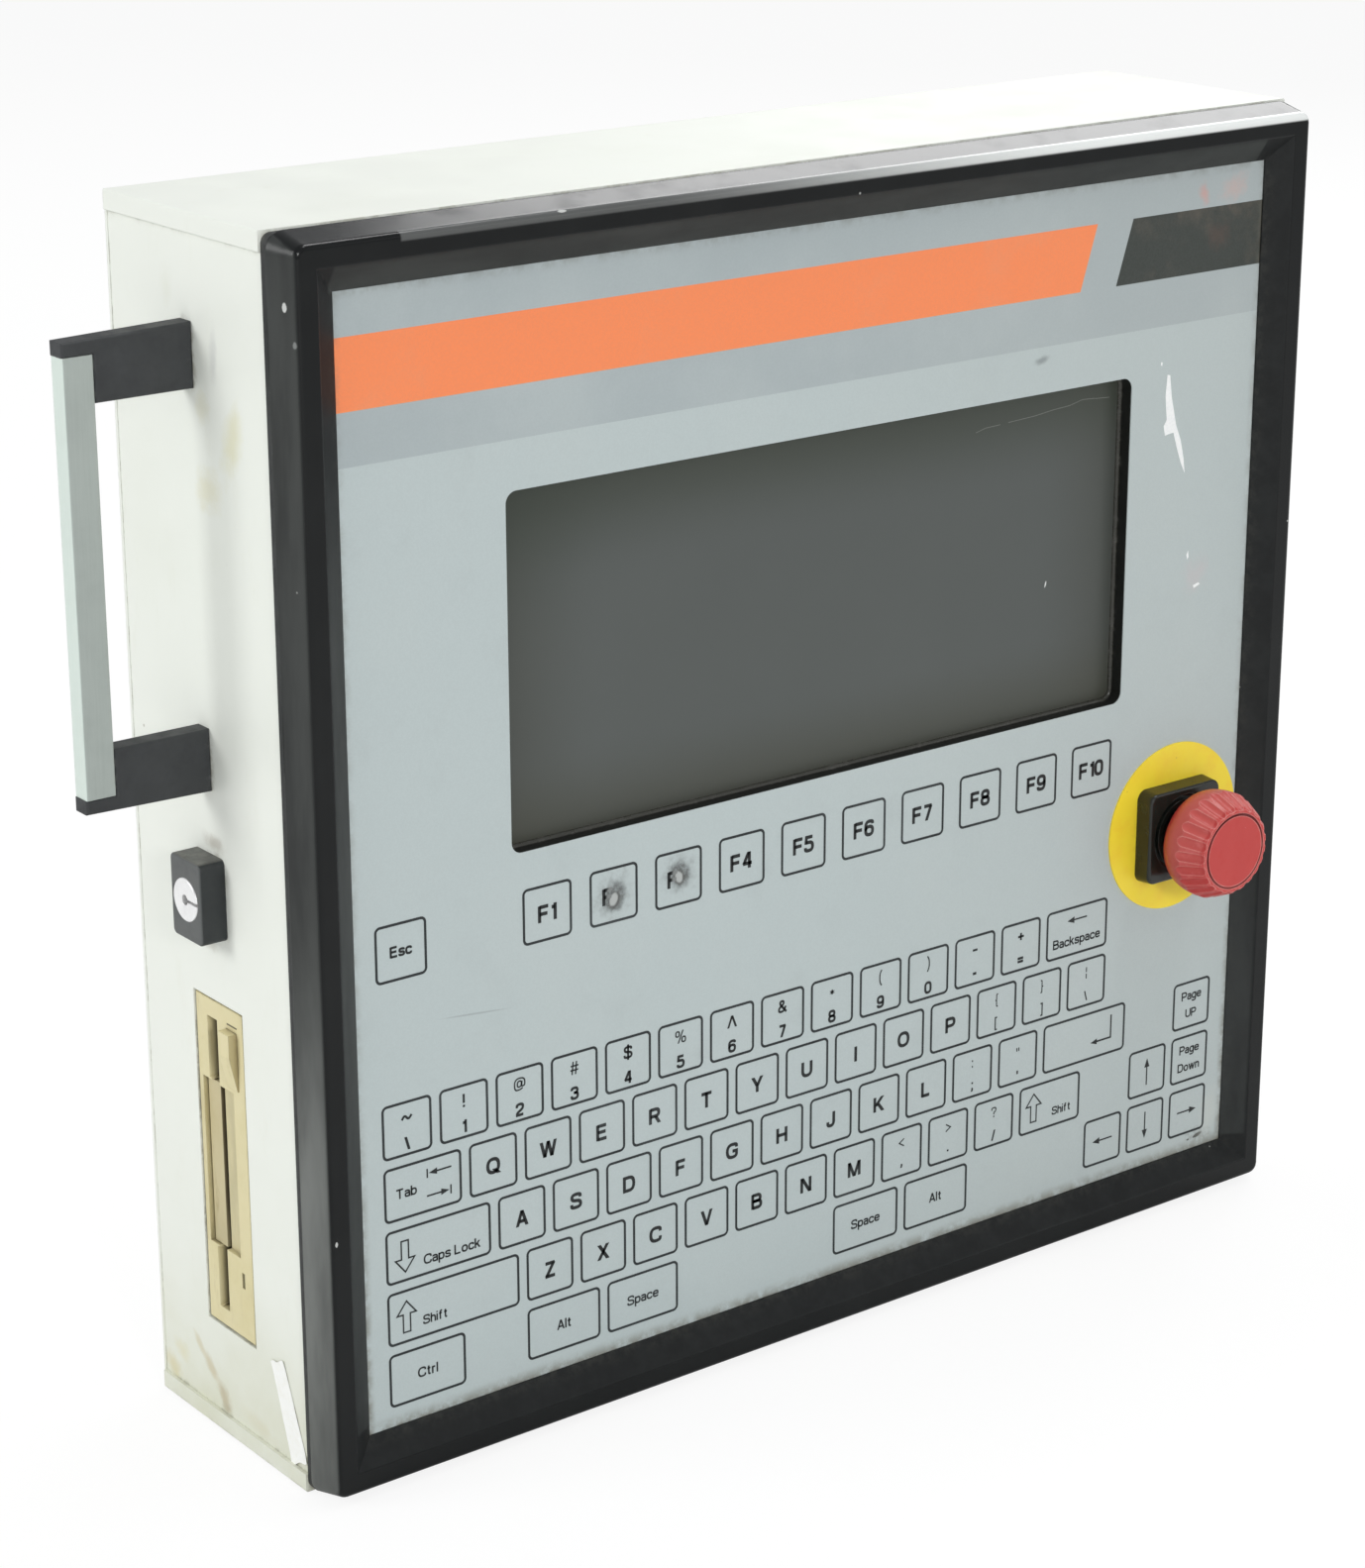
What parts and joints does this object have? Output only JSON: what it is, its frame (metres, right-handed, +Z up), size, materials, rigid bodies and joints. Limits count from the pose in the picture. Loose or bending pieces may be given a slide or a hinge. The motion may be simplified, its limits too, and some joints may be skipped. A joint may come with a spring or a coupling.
{
  "type": "industrial operator panel",
  "caption": "Operator panel in a sheet steel housing: foil keyboard, recessed display, emergency stop, side handle, key switch and disk drive.",
  "frame": {"origin": "centre of the cable entry, in the middle of the housing's flat underside", "axes": "+X to the operator's right, +Y into the depth away from the operator, +Z up; the printed face looks towards -Y"},
  "size_m": [0.4059, 0.1209, 0.359],
  "materials": {
    "left_wall": "satin white powder coat",
    "right_wall": "satin white powder coat",
    "top_tray": "satin white powder coat",
    "bottom_tray": "satin white powder coat",
    "rear_cover": "satin white powder coat",
    "front_flange": "satin grey",
    "bumper_frame": "soft black, glossy on the crest",
    "front_overlay": "fine textured printed polyester",
    "key_spacer": "clear foil",
    "key_domes": "spring steel",
    "key_circuit": "printed circuit foil",
    "front_plate": "mill finish",
    "window_trim": "matt black",
    "display_glass": "smoked, anti-glare",
    "display_gasket": "foam",
    "display_module": "dark screen",
    "display_carrier": "zinc plated",
    "spacer_brass": "plain",
    "screw_steel": "zinc plated",
    "circuit_board": "solder mask",
    "board_chips": "moulded",
    "board_plugs": "moulded",
    "ribbon": "grey flat cable",
    "stop_disc": "satin yellow",
    "stop_collar": "glossy black",
    "stop_head": "glossy red",
    "stop_plunger": "moulded black",
    "stop_ring": "moulded black",
    "contact_blocks": "moulded dark grey",
    "handle_brackets": "moulded dark grey",
    "handle_bar": "satin anodised",
    "key_block": "satin dark grey",
    "key_rotor": "polished",
    "drive_faceplate": "aged beige",
    "drive_flap": "aged beige",
    "drive_button": "aged beige",
    "drive_lamp": "unlit lens",
    "drive_body": "zinc plated",
    "drive_bracket": "zinc plated",
    "power_supply": "plain sheet",
    "arm_plate": "zinc plated",
    "cable_grommet": "black"
  },
  "bodies": {
    "housing": {"left_wall": "left_wall", "right_wall": "right_wall", "top_tray": "top_tray", "bottom_tray": "bottom_tray", "rear_cover": "rear_cover", "rear_cover_screws": "screw_steel", "front_flange": "front_flange", "front_plate": "front_plate", "flange_screws": "screw_steel", "bumper_frame": "bumper_frame", "front_overlay": "front_overlay", "key_spacer": "key_spacer", "key_domes": "key_domes", "key_circuit": "key_circuit", "window_trim": "window_trim", "display_glass": "display_glass", "display_gasket": "display_gasket", "display_module": "display_module", "display_carrier": "display_carrier", "display_standoffs": "spacer_brass", "carrier_screws": "screw_steel", "controller_board": "circuit_board", "board_standoffs": "spacer_brass", "board_screws": "screw_steel", "board_chips": "board_chips", "board_plugs": "board_plugs", "drive_ribbon": "ribbon", "display_ribbon": "ribbon", "stop_disc": "stop_disc", "stop_collar": "stop_collar", "stop_ring": "stop_ring", "stop_contacts": "contact_blocks", "handle_lower_bracket": "handle_brackets", "handle_upper_bracket": "handle_brackets", "handle_bar": "handle_bar", "handle_screws": "screw_steel", "key_block": "key_block", "key_nut": "screw_steel", "key_contacts": "contact_blocks", "drive_faceplate": "drive_faceplate", "drive_lamp": "drive_lamp", "drive_body": "drive_body", "drive_bracket": "drive_bracket", "drive_screws": "screw_steel", "power_supply": "power_supply", "supply_studs": "screw_steel", "supply_nuts": "screw_steel", "arm_plate": "arm_plate", "cable_grommet": "cable_grommet", "earth_stud": "spacer_brass", "earth_nut": "spacer_brass"},
    "stop_plunger": {"stop_plunger": "stop_plunger"},
    "stop_head": {"stop_head": "stop_head"},
    "key_rotor": {"key_rotor": "key_rotor"},
    "drive_button": {"drive_button": "drive_button"},
    "drive_flap": {"drive_flap": "drive_flap"}
  },
  "joints": [
    {"name": "stop_press", "type": "slide", "parent": "housing", "child": "stop_plunger", "axis": [0, 1, 0], "range_m": [0, 0.005]},
    {"name": "stop_twist", "type": "hinge", "parent": "stop_plunger", "child": "stop_head", "pos_m": [0.1395, -0.0607, 0.1324], "axis": [0, 1, 0], "range_deg": [0, 45], "stiffness_Nm_per_rad": 0.02},
    {"name": "key_turn", "type": "hinge", "parent": "housing", "child": "key_rotor", "pos_m": [-0.1912, 0.0007, 0.1685], "axis": [1, 0, 0], "range_deg": [0, 90]},
    {"name": "drive_button_press", "type": "slide", "parent": "housing", "child": "drive_button", "axis": [1, 0, 0], "range_m": [0, 0.0025], "stiffness_N_per_m": 300},
    {"name": "drive_flap_swing", "type": "hinge", "parent": "housing", "child": "drive_flap", "pos_m": [-0.18075, 0.0089, 0.0851], "axis": [0, 0, 1], "range_deg": [0, 80], "stiffness_Nm_per_rad": 0.001}
  ]
}
